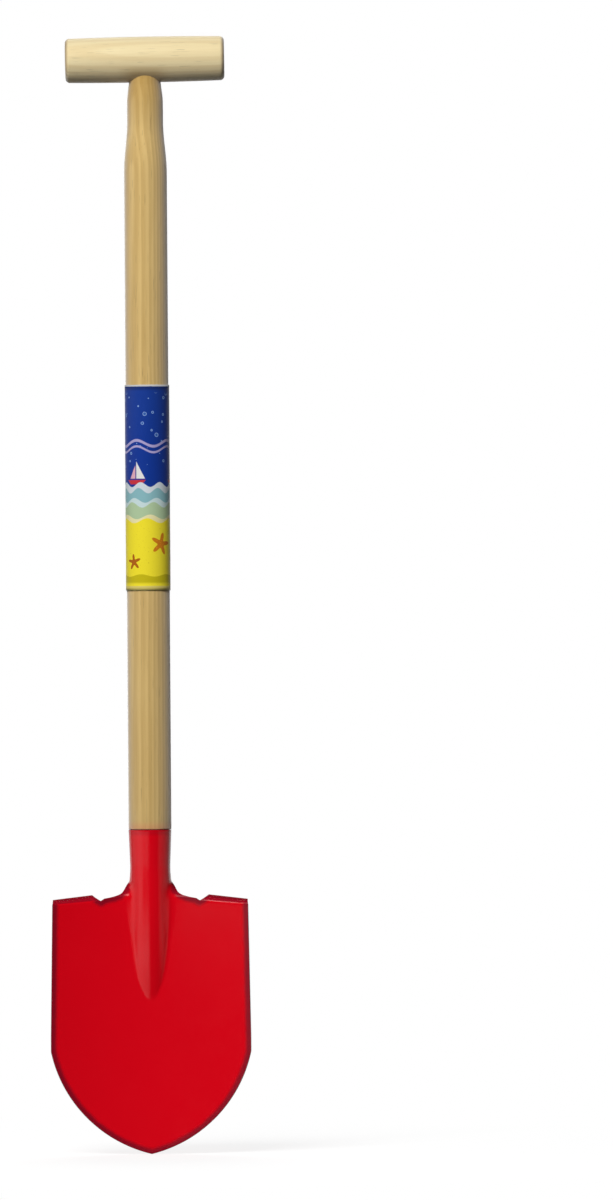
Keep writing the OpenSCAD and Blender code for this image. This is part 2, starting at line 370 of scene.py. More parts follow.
def rolled_out(low):
    """Share by which the collar is unrolled: even, with an eased start and end."""
    pace = 1 / (1 - ROLL_EASE)
    if low < ROLL_EASE:
        return pace * low**2 / (2 * ROLL_EASE)
    if low > 1 - ROLL_EASE:
        return 1 - pace * (1 - low) ** 2 / (2 * ROLL_EASE)
    return pace * (low - ROLL_EASE / 2)


def closed_xy(k):
    return CREST_R * math.sin(roll_angle(k)), -CREST_R * math.cos(roll_angle(k))


def open_xy(k, width):
    x = collar_x(k, width)
    return x, front_y(x, TOP_Z)


@functools.cache
def collar_row(up):
    """A section of the collar, which unrolls column by column from the socket to the blade's top edge."""
    low = math.cos(math.pi / 2 * up)
    width = between(COLLAR_WAIST, COLLAR_HALF, low**FLARE_POWER)
    opened = rolled_out(low)
    z = between(OPEN_Z, TOP_Z, low)
    x, y = 0.0, -CREST_R
    row = [(x, y, z)]
    for k in range(1, COLLAR_COLUMNS + 1):
        shut = complex(*closed_xy(k)) - complex(*closed_xy(k - 1))
        flat = complex(*open_xy(k, width)) - complex(*open_xy(k - 1, width))
        heading = between(cmath.phase(shut), cmath.phase(flat), opened)
        step = between(abs(shut), abs(flat), opened)
        x += step * math.cos(heading)
        y += step * math.sin(heading)
        row.append((x, y, z))
    return row


def socket_point(up, k):
    radius = between(CREST_R, SHAFT_R, up)
    angle = roll_angle(k)
    return radius * math.sin(angle), -radius * math.cos(angle), between(OPEN_Z, RIM_Z, up)


def tread_point(up_rows, k):
    """The tread bends back from the blade's top edge, and its inner end leans outwards."""
    x, y, z = blade_point(0, k)
    angle = TREAD_BEND * min(1.0, up_rows / BEND_ROWS)
    flat = TREAD_L * max(0, up_rows - BEND_ROWS) / FLAT_ROWS
    back = TREAD_R * (1 - math.cos(angle)) + flat * math.sin(angle)
    up = TREAD_R * math.sin(angle) + flat * math.cos(angle)
    inner = (HALF_W - blade_x(k)) / (HALF_W - TREAD_X)
    return x + TREAD_LEAN * inner * up / TREAD_RISE, y + back, z + up


def half_point(row, k):
    """Point of the sheet's front in a row and in a column of its right half, or None beside the sheet."""
    if row >= 0:
        return blade_point(row / BLADE_ROWS, k)
    up = -row
    if k <= COLLAR_COLUMNS:
        if up <= COLLAR_ROWS:
            return collar_row(up / COLLAR_ROWS)[k]
        return socket_point((up - COLLAR_ROWS) / SOCKET_ROWS, k)
    if k >= TREAD_COLUMN and row >= TREAD_ROW:
        return tread_point(up, k)
    return None


def sheet_cage():
    """Points and faces of the pressing's front, and the number of the point in a row and a column."""
    points, index = [], {}
    rows = range(TOP_ROW, BLADE_ROWS + 1)
    columns = range(-HALF_COLUMNS, HALF_COLUMNS + 1)
    for row in rows:
        for column in columns:
            point = half_point(row, abs(column))
            if point is None:
                continue
            index[row, column] = len(points)
            points.append((math.copysign(point[0], column), point[1], point[2]))
    faces = []
    for row in rows:
        for column in columns:
            corners = [(row, column), (row + 1, column), (row + 1, column + 1), (row, column + 1)]
            if all(corner in index for corner in corners):
                faces.append([index[corner] for corner in corners])
    return points, faces, index


def sides_of(face):
    return zip(face, face[1:] + face[:1])


def edge_distance(points, faces):
    """Distance of each point from the sheet's edge, in millimetres."""
    uses = {}
    for face in faces:
        for a, b in sides_of(face):
            key = (min(a, b), max(a, b))
            uses[key] = uses.get(key, 0) + 1
    points = np.array(points)
    nearest = np.full(len(points), np.inf)
    for (a, b), count in uses.items():
        if count > 1:
            continue
        along = points[b] - points[a]
        share = np.clip((points - points[a]) @ along / (along @ along), 0, 1)
        offset = points - points[a] - share[:, None] * along
        nearest = np.minimum(nearest, np.linalg.norm(offset, axis=1))
    return nearest


def eased_folds(points, faces):
    """Eases the folds between socket and wings, which have no sharp root, and keeps the sheet's edge."""
    places = np.array(points)
    aside = np.abs(places[:, 0])
    height = places[:, 2] - TOP_Z
    share = eased(edge_distance(points, faces), *EASE_EDGE)
    share *= eased(aside, *EASE_INNER) * eased(aside, *EASE_OUTER)
    share *= eased(height, *EASE_LOWER) * eased(height, *EASE_UPPER)
    sides = np.array([pair for face in faces for pair in sides_of(face)])
    ends = np.concatenate((sides, sides[:, ::-1]))
    count = np.bincount(ends[:, 0], minlength=len(places))[:, None]
    for _ in range(EASE_ROUNDS):
        total = np.zeros_like(places)
        np.add.at(total, ends[:, 0], places[ends[:, 1]])
        places += EASE_PACE * share[:, None] * (total / count - places)
    return places.tolist()


def make_blade():
    """The pressing: its front as a smoothed cage, thickened backwards, with rounded edges."""
    points, faces, index = sheet_cage()
    points = eased_folds(points, faces)
    piece = new_piece("blade_sheet", points, faces, "blade")
    rim = piece.data.attributes.new("rim", "FLOAT", "POINT")
    rim.data.foreach_set("value", edge_distance(points, faces))
    corner = piece.data.attributes.new("crease_vert", "FLOAT", "POINT")
    sharp = [(BLADE_ROWS, 0)]
    for side in (-1, 1):
        sharp.append((TOP_ROW, side * COLLAR_COLUMNS))
        sharp.append((TREAD_ROW, side * TREAD_COLUMN))
        sharp.append((TREAD_ROW, side * HALF_COLUMNS))
    for place in sharp:
        corner.data[index[place]].value = 1.0
    smooth = piece.modifiers.new("smooth", "SUBSURF")
    smooth.levels = smooth.render_levels = 1
    sheet = piece.modifiers.new("sheet", "SOLIDIFY")
    sheet.thickness = SHEET_T * MM
    sheet.offset = -1
    edge = piece.modifiers.new("edge", "BEVEL")
    edge.width = EDGE_R * MM
    edge.segments = EDGE_STEPS
    edge.limit_method = "ANGLE"
    edge.angle_limit = EDGE_ANGLE
    return piece


# Wooden pieces and the sleeve

def make_shaft():
    """Turned shaft: end in the socket, rounded shoulder, straight length, and the taper to its neck."""
    shoulder_z = RIM_Z + SHOULDER_GAP
    straight_z = shoulder_z + SHOULDER_ROUND
    taper_foot_z = TAPER_Z - TAPER_L
    outline = [(SHAFT_END_Z, 0), (SHAFT_END_Z, SHAFT_END_R - END_BEVEL_W)]
    outline += [(SHAFT_END_Z + END_BEVEL_L, SHAFT_END_R), (RIM_Z - SEAT_STRAIGHT, SEAT_R)]
    outline += [(shoulder_z, SEAT_R), (shoulder_z, SEAT_R + SHOULDER_FLAT)]
    for step in range(SHOULDER_STEPS + 1):
        angle = math.pi / 2 * step / SHOULDER_STEPS
        z = shoulder_z + SHOULDER_ROUND * (1 - math.cos(angle))
        outline.append((z, SHAFT_R - SHOULDER_ROUND * (1 - math.sin(angle))))
    for step in range(1, STRAIGHT_STEPS):
        outline.append((between(straight_z, taper_foot_z, step / STRAIGHT_STEPS), SHAFT_R))
    for step in range(TAPER_STEPS + 1):
        t = step / TAPER_STEPS
        radius = between(SHAFT_R, NECK_R, (1 - math.cos(math.pi * t)) / 2)
        outline.append((between(taper_foot_z, TAPER_Z, t), radius))
    for step in range(CONE_STEPS + 1):
        t = step / CONE_STEPS
        outline.append((between(NECK_Z, CONE_Z, t), between(NECK_R, TENON_R, t**CONE_POWER)))
    outline += [(0, TENON_R), (TENON_TOP - TENON_BEVEL, TENON_R)]
    outline += [(TENON_TOP, TENON_R - TENON_BEVEL), (TENON_TOP, 0)]
    points, faces = turned(outline, lambda along, a, b: (a, b, along))
    return new_piece("shaft_turned", points, faces, "shaft")


def barrel(x):
    """Radius of the grip at a distance from its middle."""
    return GRIP_R - (GRIP_R - GRIP_END_R) * (2 * x / GRIP_L) ** 2


def on_grip(along, a, b):
    """Place of a point of the grip, which sits a little out of square as in the photo."""
    rise, run = math.sin(GRIP_TILT), math.cos(GRIP_TILT)
    return along * run - b * rise, a, along * rise + b * run


def make_grip():
    """Turned cross grip: a shallow barrel with rounded ends."""
    straight = GRIP_L / 2 - GRIP_ROUND
    face_r = barrel(straight) - GRIP_ROUND
    right = []
    for step in range(GRIP_ROUND_STEPS + 1):
        angle = math.pi / 2 * step / GRIP_ROUND_STEPS
        right.append((straight + GRIP_ROUND * math.sin(angle), face_r + GRIP_ROUND * math.cos(angle)))
    right += [(GRIP_L / 2, radius) for radius in (face_r - FACE_RING, FACE_CORE_R, 0)]
    left = [(-x, radius) for x, radius in reversed(right)]
    middle = [(x, barrel(x)) for x in np.linspace(-straight, straight, GRIP_STEPS + 1)[1:-1]]
    points, faces = turned(left + middle + right, on_grip)
    return new_piece("grip_turned", points, faces, "grip")


def ripple(angle, v):
    """Unevenness of the card, from two crossed sets of waves round the sleeve and along it."""
    height = RIPPLE_H
    for turns_round, turns_along in RIPPLE_TURNS:
        height *= math.sin(turns_round * angle + turns_along * v)
    return height


def make_label():
    """Card sleeve: one strip wound round the shaft, whose end laps over its start at the back."""
    turn = math.tau + CARD_LAP
    start = math.pi / 2 - CARD_LAP / 2
    points, faces, flat = [], [], []
    for row in range(CARD_ROWS + 1):
        v = row / CARD_ROWS
        z = between(label_low.z, label_high.z, v)
        for column in range(CARD_COLUMNS + 1):
            wound = turn * column / CARD_COLUMNS
            angle = start + wound
            lifted = eased(wound, CARD_LAP, CARD_LAP + CARD_RISE)
            radius = between(CARD_UNDER_R, CARD_R, lifted) + CARD_T + ripple(angle, v) * lifted
            points.append((radius * math.cos(angle), radius * math.sin(angle), z))
            flat.append(((wound - turn / 2) * PRINT_R * MM, z * MM))
    across = CARD_COLUMNS + 1
    for row in range(CARD_ROWS):
        for column in range(CARD_COLUMNS):
            a = row * across + column
            faces.append((a, a + 1, a + across + 1, a + across))
    piece = new_piece("label_sleeve", points, faces, "label")
    layout = piece.data.uv_layers.new(name="flat")
    for loop in piece.data.loops:
        layout.data[loop.index].uv = flat[loop.vertex_index]
    card = piece.modifiers.new("card", "SOLIDIFY")
    card.thickness = CARD_T * MM
    card.offset = -1
    return piece


# Materials

class Graph:
    """Adds nodes to one tree and links them. A value is a number, a colour or another node's output."""

    def __init__(self, tree):
        self.tree = tree
        tree.nodes.clear()

    def put(self, socket, value):
        if isinstance(value, bpy.types.NodeSocket):
            self.tree.links.new(value, socket)
        elif isinstance(value, tuple) and len(value) == 3 and socket.type == "RGBA":
            socket.default_value = (*value, 1)
        else:
            socket.default_value = value

    def add(self, kind, settings=None, **inputs):
        """Adds a node. An underscore in an input's name stands for a space."""
        node = self.tree.nodes.new("ShaderNode" + kind)
        for name, value in (settings or {}).items():
            setattr(node, name, value)
        for name, value in inputs.items():
            self.put(node.inputs[name.replace("_", " ")], value)
        return node

    def fed(self, kind, settings, *values):
        """Adds a node whose first inputs take the values in order."""
        node = self.add(kind, settings)
        for socket, value in zip(node.inputs, values):
            self.put(socket, value)
        return node

    def math(self, operation, *values):
        return self.fed("Math", {"operation": operation}, *values).outputs[0]

    def vector_math(self, operation, *values):
        return self.fed("VectorMath", {"operation": operation}, *values).outputs

    def scaled(self, value, factor, offset=0.0):
        return self.math("MULTIPLY_ADD", value, factor, offset)

    def product(self, *values):
        result = values[0]
        for value in values[1:]:
            result = self.math("MULTIPLY", result, value)
        return result

    def length(self, a, b):
        return self.math("SQRT", self.math("ADD", self.product(a, a), self.product(b, b)))

    def smooth(self, value, start, end, low=0.0, high=1.0):
        """Goes smoothly from low to high as the value goes from start to end."""
        settings = {"interpolation_type": "SMOOTHSTEP"}
        return self.fed("MapRange", settings, value, start, end, low, high).outputs[0]

    def fade(self, value, start, end, top=1.0):
        """Goes smoothly from top to 0 as the value goes from start to end."""
        return self.smooth(value, start, end, top, 0.0)

    def band(self, value, low, high, soft):
        """1 between low and high, with soft ends."""
        above = self.smooth(value, low - soft, low + soft)
        return self.product(above, self.fade(value, high - soft, high + soft))

    def mix(self, factor, a, b):
        """Goes from colour a to colour b."""
        node = self.add("Mix", {"data_type": "RGBA"})
        self.put(node.inputs[0], factor)
        self.put(node.inputs[6], a)
        self.put(node.inputs[7], b)
        return node.outputs[2]

    def blend(self, factor, a, b):
        """The same for plain numbers."""
        node = self.add("Mix", {"data_type": "FLOAT"})
        self.put(node.inputs[0], factor)
        self.put(node.inputs[2], a)
        self.put(node.inputs[3], b)
        return node.outputs[0]

    def place(self):
        return self.add("TexCoord").outputs["Object"]

    def noise(self, vector, scale, detail=3.0, roughness=0.5):
        node = self.add("TexNoise", Vector=vector, Scale=scale, Detail=detail, Roughness=roughness)
        return node.outputs["Fac"]

    def stretched(self, vector, scale):
        return self.add("Mapping", Vector=vector, Scale=scale).outputs["Vector"]

    def parts(self, vector):
        return self.add("SeparateXYZ", Vector=vector).outputs

    def parts_mm(self, vector):
        return [self.math("DIVIDE", part, MM) for part in self.parts(vector)]

    def bump(self, height, distance, strength, **under):
        """Bumps whose distance is in metres. Normal= gives other bumps that they lie over."""
        node = self.add("Bump", Height=height, Distance=distance, Strength=strength, **under)
        return node.outputs["Normal"]

    def mix_shader(self, factor, a, b):
        return self.fed("MixShader", {}, factor, a.outputs[0], b.outputs[0])

    def surface(self, shader):
        self.tree.links.new(shader.outputs[0], self.add("OutputMaterial").inputs["Surface"])


def new_material(name):
    material = bpy.data.materials.new(name)
    material.use_nodes = True
    return material, Graph(material.node_tree)


def dress(piece, material):
    piece.data.materials.clear()
    piece.data.materials.append(material)


# Enamel. Bands are in millimetres from the sheet's edge, or below the socket's rim
RED_DEEP = (0.72, 0.0002, 0.0075)
RED_BRIGHT = (0.77, 0.0003, 0.0085)
# Darker red for the sheet's edges and for painted shade on faces that look up
RED_DARK_EDGE_AND_SHADE = (0.27, 0.002, 0.013)
CHIP_DARK = (0.05, 0.03, 0.03)
CHIP_BAND = (0.1, 0.8)
CHIP_NOISE = (0.66, 0.72)
EDGE_DARK_BAND = (1.6, 5.0)
EDGE_DARK_RAGGED = 1.2
EDGE_DARK_ROUGHER = 0.12
RIM_BAND = (9.0, 4.0)
RIM_EDGE_DARK = 0.3
# Painted shade on faces that look up, by how far their normal points up
UP_SHADE_FACING = (0.15, 0.6)
UP_SHADE_SHARE = 0.9
SMEAR_NOISE = (0.35, 0.75)
ENAMEL_ROUGH = (0.22, 0.26)


def enamel():
    """Glossy red enamel on pressed sheet, with slight orange peel.

    The colour is darker along the sheet's edges, has painted shade on faces that look up such as the
    treads, and is chipped at the edge.
    """
    material, g = new_material("red_enamel")
    place = g.place()
    rim = g.add("Attribute", {"attribute_name": "rim"}).outputs["Fac"]
    facing_up = g.parts(g.add("NewGeometry").outputs["Normal"])["Z"]
    height = g.math("DIVIDE", g.parts(place)["Z"], MM)
    red = g.mix(g.noise(place, scale=16.0), RED_DEEP, RED_BRIGHT)
    # The colour darkens along the sheet's edges, with a ragged inner line, and less so near the socket's
    # rim
    ragged = g.scaled(g.noise(place, scale=200.0), EDGE_DARK_RAGGED, -EDGE_DARK_RAGGED / 2)
    near_rim = g.smooth(height, RIM_Z - RIM_BAND[0], RIM_Z - RIM_BAND[1], 1.0, RIM_EDGE_DARK)
    edge_dark = g.product(near_rim, g.fade(g.math("ADD", rim, ragged), *EDGE_DARK_BAND))
    # Painted shade: faces that look up, such as the treads, turn the darker red
    up_facing_shade = g.smooth(facing_up, *UP_SHADE_FACING, 0.0, UP_SHADE_SHARE)
    red = g.mix(g.math("MAXIMUM", edge_dark, up_facing_shade), red, RED_DARK_EDGE_AND_SHADE)
    chips = g.smooth(g.noise(place, scale=420.0), *CHIP_NOISE)
    red = g.mix(g.product(chips, g.fade(rim, *CHIP_BAND)), red, CHIP_DARK)
    smears = g.noise(place, scale=55.0, detail=4.0, roughness=0.6)
    rough = g.smooth(smears, *SMEAR_NOISE, *ENAMEL_ROUGH)
    rough = g.math("ADD", rough, g.scaled(edge_dark, EDGE_DARK_ROUGHER))
    peel = g.bump(g.noise(place, scale=520.0, detail=1.0), distance=0.00008, strength=0.2)
    waves = g.bump(g.noise(place, scale=30.0, detail=1.0), distance=0.0008, strength=0.1, Normal=peel)
    g.surface(g.add("BsdfPrincipled", Base_Color=red, Roughness=rough, Normal=waves))
    return material


# Wood. Rings are counted in a metre, and shares say how much each pattern darkens the wood
RING_COUNT = 420.0
RING_WANDER = 3.2
RING_RISE = (0.0, 0.75)
RING_FALL = (0.8, 1.0)
RING_SHARE = 0.26
STREAK_SHARE = 0.5
FIBRE_SHARE = 0.4
DRIFT_SHARE = 0.35
TONE_SPAN = (0.45, 1.05)
FLECK_STRETCH = 2.6
FLECK_NOISE = (0.66, 0.74)
FLECK_PIT = (0.62, 0.74)
FLECK_SHARE = 0.4
FLECK_DARK = 0.45
FIBRE_NOISE = (0.3, 0.7)
WOOD_ROUGH = (0.40, 0.52)


def wood(name, pale, deep, grain, heart, gloss, sheen, tints_and_shade):
    """Fine straight-grained hardwood.

    grain is the scale along x, y and z, and heart the middle of the growth rings, in metres.
    The last argument, called as (g, x, y, z) with a place in millimetres, gives masks and colours of
    tints and painted shade.
    """
    material, g = new_material(name)
    place = g.place()
    along = g.stretched(place, grain)
    across_axes = tuple(1.0 if scale == 1.0 else 0.0 for scale in grain)
    across = g.vector_math("MULTIPLY", place, across_axes)["Vector"]
    from_heart = g.vector_math("DISTANCE", across, heart)["Value"]
    wander = g.scaled(g.noise(along, scale=40.0, detail=2.0), RING_WANDER)
    ring = g.math("FRACT", g.math("ADD", g.scaled(from_heart, RING_COUNT), wander))
    ring = g.product(g.smooth(ring, *RING_RISE), g.fade(ring, *RING_FALL))
    fibre = g.noise(along, scale=900.0, detail=4.0, roughness=0.65)
    streak = g.noise(along, scale=190.0, detail=3.0, roughness=0.6)
    drift = g.noise(place, scale=9.0, detail=2.0)
    tone = g.scaled(ring, RING_SHARE)
    for share, pattern in ((STREAK_SHARE, streak), (FIBRE_SHARE, fibre), (DRIFT_SHARE, drift)):
        tone = g.math("ADD", tone, g.scaled(pattern, share))
    colour = g.mix(g.smooth(tone, *TONE_SPAN), pale, deep)
    short = tuple(FLECK_STRETCH * scale for scale in grain)
    flecks = g.noise(g.stretched(place, short), scale=560.0, detail=1.0)
    fleck = tuple(FLECK_DARK * part for part in deep)
    colour = g.mix(g.smooth(flecks, *FLECK_NOISE, 0.0, FLECK_SHARE), colour, fleck)
    for mask, tint in tints_and_shade(g, *g.parts_mm(place)):
        colour = g.mix(mask, colour, tint)
    rise = g.math("SUBTRACT", fibre, g.smooth(flecks, *FLECK_PIT))
    g.surface(g.add(
        "BsdfPrincipled",
        Base_Color=colour,
        Roughness=g.smooth(fibre, *FIBRE_NOISE, *WOOD_ROUGH),
        Specular_IOR_Level=gloss,
        Sheen_Weight=sheen,
        Normal=g.bump(rise, distance=0.00012, strength=0.4),
    ))
    return material


# Colours on the wood: a reddish band above the socket's rim, painted shade from the cone's top and off
# the grip's middle, and darker end grain with painted shade from the grip's ends
# A reddish band on the wood just above the socket's rim
RIM_RED = (0.70, 0.21, 0.11)
RIM_RED_BAND = (1.0, 7.0)
RIM_RED_SHARE = 0.4
# Warm brown painted shade where the neck meets the grip
JOINT_SHADE = (0.34, 0.18, 0.02)
SHADE_RUN = (-34.0, 6.0)
SHADE_RUN_SHARE = 0.5
SHADE_ASIDE = (5.0, 19.0)
SHADE_UNDER = (-3.0, -12.0)
SHADE_UNDER_SHARE = 0.6
# Darker end grain, which also paints shade on the grip's rounded ends
END_GRAIN_AND_SHADE = (0.33, 0.22, 0.10)
END_BAND = (2.4, 0.4)
END_SHARE = 0.8


def shaft_tint_and_shade(g, x, y, z):
    """A reddish band just above the socket's rim, and painted shade that darkens the neck towards the
    grip.
    """
    # A reddish band just above the socket's rim
    rim_red_band = g.fade(z, RIM_Z + RIM_RED_BAND[0], RIM_Z + RIM_RED_BAND[1], RIM_RED_SHARE)
    # Painted shade: the neck darkens towards the grip, which shades it
    painted_shade = g.smooth(z, CONE_Z + SHADE_RUN[0], CONE_Z + SHADE_RUN[1], 0.0, SHADE_RUN_SHARE)
    return [(rim_red_band, RIM_RED), (painted_shade, JOINT_SHADE)]


def grip_grain_and_shade(g, x, y, z):
    """Painted shade round the neck under the grip, and darker end grain that also paints shade on the
    grip's rounded ends.
    """
    off_middle = g.math("ABSOLUTE", x)
    # Painted shade round the neck, under the grip's middle
    under = g.smooth(z, *SHADE_UNDER, 0.0, SHADE_UNDER_SHARE)
    painted_shade = g.product(g.fade(off_middle, *SHADE_ASIDE), under)
    half = GRIP_L / 2
    # Darker end grain, which also paints shade on the grip's rounded ends
    ends = g.smooth(off_middle, half - END_BAND[0], half - END_BAND[1], 0.0, END_SHARE)
    return [(painted_shade, JOINT_SHADE), (ends, END_GRAIN_AND_SHADE)]


# The print. Places are in millimetres: u to the right of the front's middle, t down from the top edge
SEA_TOP = (0.010, 0.042, 0.27)
SEA_LOW = (0.007, 0.036, 0.27)
SEA_SPAN = (0.0, 60.0)
BUBBLE_FILL = (0.10, 0.26, 0.62)
BUBBLE_RING = (0.30, 0.46, 0.78)
BUBBLE_SPAN = (6.0, 56.0)
BUBBLE_SPAN_SOFT = 1.5
BUBBLE_CLEAR = 0.3
LILAC = (0.40, 0.35, 0.60)
LILAC_SOFT = 0.2
HULL_RED = (0.55, 0.035, 0.05)
SAIL_WHITE = (0.74, 0.74, 0.72)
SAIL_PINK = (0.72, 0.40, 0.48)
SPECK = (0.50, 0.30, 0.02)
SPECK_FROM = 94.0
SPECK_NOISE = (0.66, 0.72)
SPECK_SHARE = 0.6
ORANGE = (0.62, 0.20, 0.012)
RUST = (0.40, 0.11, 0.006)
OLIVE = (0.56, 0.47, 0.010)
OLIVE_END = (131.0, 133.0)
HEM_YELLOW = (0.72, 0.60, 0.16)
HEM_FROM = 134.0
NIGHT_BLUE = (0.012, 0.018, 0.060)
NIGHT_BAND = (2.0, 4.5)
NIGHT_SHARE = 0.6
EDGE_GREY = (0.46, 0.47, 0.48)
EDGE_BAND = (0.9, 1.3)
BARE_CARD = (0.70, 0.68, 0.62)
WORN_TOP = 0.9
WORN_LOW = 0.8
WORN_SHARE = 0.5
WORN_NOISE = (0.45, 0.6)
CARD_NOISE = (0.3, 0.7)
CARD_ROUGH = (0.34, 0.46)
CARD_GLOSS = 0.2
PRINT_SOFT = 0.25

# Bubbles, in shares of the cells that they lie in
CELLS_PER_MM = 0.125
CELL_SCATTER = 0.9
BUBBLE_LEAST = 0.02
BUBBLE_MORE = 0.16
BUBBLE_RIM = 0.035
BUBBLE_SOFT = 0.02


class Wave(NamedTuple):
    """A line round the sleeve with whole waves."""

    level: float
    height: float
    count: int
    phase: float


# Ribbons with half their width, and layers of sea and sand with the colour below their line
RIBBONS = (
    (Wave(39.0, 2.0, 4, 0.4), 0.9),
    (Wave(43.0, 2.0, 4, 0.4), 0.7),
)
LAYERS = (
    (Wave(66.5, 1.6, 7, 0.6), (0.62, 0.68, 0.72)),
    (Wave(70.5, 1.8, 7, 1.3), (0.24, 0.46, 0.50)),
    (Wave(77.0, 1.6, 6, 2.2), (0.56, 0.70, 0.70)),
    (Wave(80.0, 1.8, 6, 3.0), (0.42, 0.56, 0.34)),
    (Wave(88.0, 1.5, 5, 4.1), (0.80, 0.74, 0.40)),
    (Wave(90.5, 1.6, 5, 4.8), (0.88, 0.74, 0.032)),
)
OLIVE_WAVE = Wave(127.0, 0.8, 5, 0.0)


class Sail(NamedTuple):
    """Shares of a boat's size: the sail's edge at the mast, its outer corner and its top."""

    mast: float
    corner: float
    top: float
    colour: tuple


# Boats: places and size, and the shares of that size that their hulls and sails take
BOATS_U = (-8.0, 24.0, -38.0)
BOAT_T = 66.0
BOAT_SIZE = 13.0
BOAT_SOFT = 0.02
HULL_DRAFT = 0.02
HULL_DECK = 0.2
HULL_HALF = 0.36
HULL_FLARE = 0.9
SAIL_FOOT = 0.27
SAILS = (
    Sail(0.03, 0.50, 1.15, SAIL_WHITE),
    Sail(-0.03, -0.36, 0.95, SAIL_PINK),
)


class Star(NamedTuple):
    """Place, size, turn and colour of a starfish."""

    u: float
    t: float
    size: float
    turn: float
    colour: tuple


STARS = (
    Star(9.5, 106.0, 7.6, 0.5, ORANGE),
    Star(-10.0, 118.0, 5.4, 2.1, RUST),
    Star(31.0, 112.0, 6.4, 1.2, RUST),
    Star(-32.0, 104.0, 7.0, 2.8, ORANGE),
)
STAR_ARMS = 5.0
STAR_BODY = 0.38
STAR_POINTED = 1.6
STAR_EDGE = (-0.3, 0.2)
STAR_DOTTED = 0.7
STAR_DOT_EDGE = (-0.4, 0.0)
STAR_DOT_NOISE = (0.60, 0.66)
STAR_DOT_LIGHT = 1.7


class Print:
    """Draws the sleeve's flat print, one motif over the other."""

    def __init__(self, g):
        self.g = g
        flat = g.parts(g.add("UVMap", {"uv_map": "flat"}).outputs["UV"])
        self.u = g.math("DIVIDE", flat["X"], MM)
        self.t = g.math("SUBTRACT", label_high.z, g.math("DIVIDE", flat["Y"], MM))
        self.place = g.add("CombineXYZ", X=self.u, Y=self.t).outputs[0]
        self.colour = g.mix(g.smooth(self.t, *SEA_SPAN), SEA_TOP, SEA_LOW)

    def paint(self, mask, colour):
        self.colour = self.g.mix(mask, self.colour, colour)

    def under(self, line):
        """How far a place lies under a line."""
        return self.g.math("SUBTRACT", self.t, line)

    def below(self, line):
        return self.g.smooth(self.under(line), -PRINT_SOFT, PRINT_SOFT)

    def line(self, wave):
        swing = self.g.math("SINE", self.g.scaled(self.u, wave.count / PRINT_R, wave.phase))
        return self.g.scaled(swing, wave.height, wave.level)

    def bubbles(self):
        g = self.g
        flat = {"voronoi_dimensions": "2D"}
        cells = g.add("TexVoronoi", flat, Vector=self.place, Scale=CELLS_PER_MM, Randomness=CELL_SCATTER)
        size = g.scaled(g.parts(cells.outputs["Color"])["X"], BUBBLE_MORE, BUBBLE_LEAST)
        gap = g.math("SUBTRACT", cells.outputs["Distance"], size)
        shown = g.band(self.t, *BUBBLE_SPAN, BUBBLE_SPAN_SOFT)
        fill = g.fade(gap, -BUBBLE_SOFT, BUBBLE_SOFT, BUBBLE_CLEAR)
        ring = g.band(gap, -BUBBLE_RIM, 0.0, BUBBLE_SOFT)
        self.paint(g.product(fill, shown), BUBBLE_FILL)
        self.paint(g.product(ring, shown), BUBBLE_RING)

    def boat(self, u):
        """A hull and two sails."""
        g = self.g
        soft = BOAT_SOFT
        up = g.scaled(g.math("SUBTRACT", BOAT_T, self.t), 1 / BOAT_SIZE)
        side = g.scaled(g.math("SUBTRACT", self.u, u), 1 / BOAT_SIZE)
        off_hull = g.math("SUBTRACT", g.math("ABSOLUTE", side), g.scaled(up, HULL_FLARE, HULL_HALF))
        hull = g.product(g.band(up, -HULL_DRAFT, HULL_DECK, soft), g.fade(off_hull, -soft, soft))
        self.paint(hull, HULL_RED)
        for sail in SAILS:
            rise = sail.top - SAIL_FOOT
            share = g.scaled(up, 1 / rise, -SAIL_FOOT / rise)
            slant = g.scaled(share, sail.mast - sail.corner, sail.corner)
            left, right = (sail.mast, slant) if sail.corner > 0 else (slant, sail.mast)
            shape = g.product(
                g.smooth(up, SAIL_FOOT - soft / 2, SAIL_FOOT + soft / 2),
                g.smooth(g.math("SUBTRACT", side, left), -soft, soft),
                g.fade(g.math("SUBTRACT", side, right), -soft, soft),
            )
            self.paint(shape, sail.colour)

    def starfish(self, star):
        """A body with pointed arms, and lighter dots on it."""
        g = self.g
        du = g.math("SUBTRACT", self.u, star.u)
        dt = g.math("SUBTRACT", self.t, star.t)
        away = g.length(du, dt)
        arms = g.math("COSINE", g.scaled(g.math("ARCTAN2", dt, du), STAR_ARMS, star.turn))
        arms = g.math("POWER", g.scaled(arms, 0.5, 0.5), STAR_POINTED)
        reach = g.scaled(arms, (1 - STAR_BODY) * star.size, STAR_BODY * star.size)
        self.paint(g.fade(g.math("SUBTRACT", away, reach), *STAR_EDGE), star.colour)
        dots = g.smooth(g.noise(self.place, scale=1.4, detail=1.0), *STAR_DOT_NOISE)
        inside = g.fade(g.math("SUBTRACT", away, g.scaled(reach, STAR_DOTTED)), *STAR_DOT_EDGE)
        light = tuple(min(1.0, STAR_DOT_LIGHT * part) for part in star.colour)
        self.paint(g.product(dots, inside), light)

    def hems(self, fibres):
        """The sleeve's top and bottom: bands of colour, and edges where the card is bare."""
        g = self.g
        olive = g.product(self.below(self.line(OLIVE_WAVE)), g.fade(self.t, *OLIVE_END))
        self.paint(olive, OLIVE)
        self.paint(self.below(HEM_FROM), HEM_YELLOW)
        self.paint(g.fade(self.t, *NIGHT_BAND, NIGHT_SHARE), NIGHT_BLUE)
        self.paint(g.fade(self.t, *EDGE_BAND), EDGE_GREY)
        top = g.fade(self.t, 0.0, WORN_TOP, WORN_SHARE)
        bottom = g.smooth(self.t, LABEL_L - WORN_LOW, LABEL_L, 0.0, WORN_SHARE)
        worn = g.math("ADD", top, bottom)
        self.paint(g.product(worn, g.smooth(fibres, *WORN_NOISE)), BARE_CARD)


